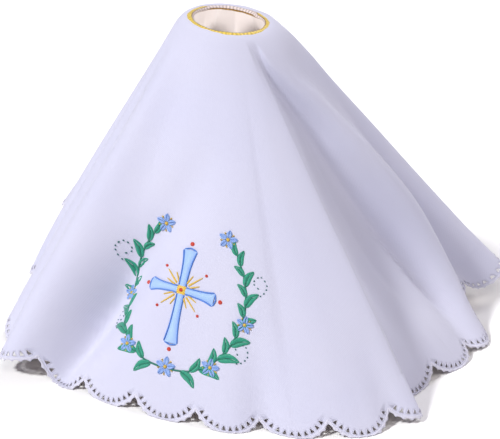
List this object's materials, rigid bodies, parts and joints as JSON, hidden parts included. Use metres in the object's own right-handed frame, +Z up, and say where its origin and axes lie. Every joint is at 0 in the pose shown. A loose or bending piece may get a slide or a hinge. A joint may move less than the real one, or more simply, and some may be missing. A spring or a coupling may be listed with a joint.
{
  "type": "chalice veil",
  "caption": "Round white chalice veil with a neck hole, a gold band and a scalloped hem, standing as a hollow cone of soft folds.",
  "frame": {"origin": "centre of the bounding box's underside, on the table that the hem stands on", "axes": "+Z up, -Y to the front where the broad smooth panel is, +X to the right"},
  "size_m": [0.3224, 0.339, 0.2056],
  "materials": {
    "white_cotton": "fine plain weave with a soft sheen",
    "gold_thread": "shiny satin stitch"
  },
  "bodies": {
    "root": {"veil_cloth": "white_cotton", "neck_ring": "gold_thread"}
  },
  "joints": []
}
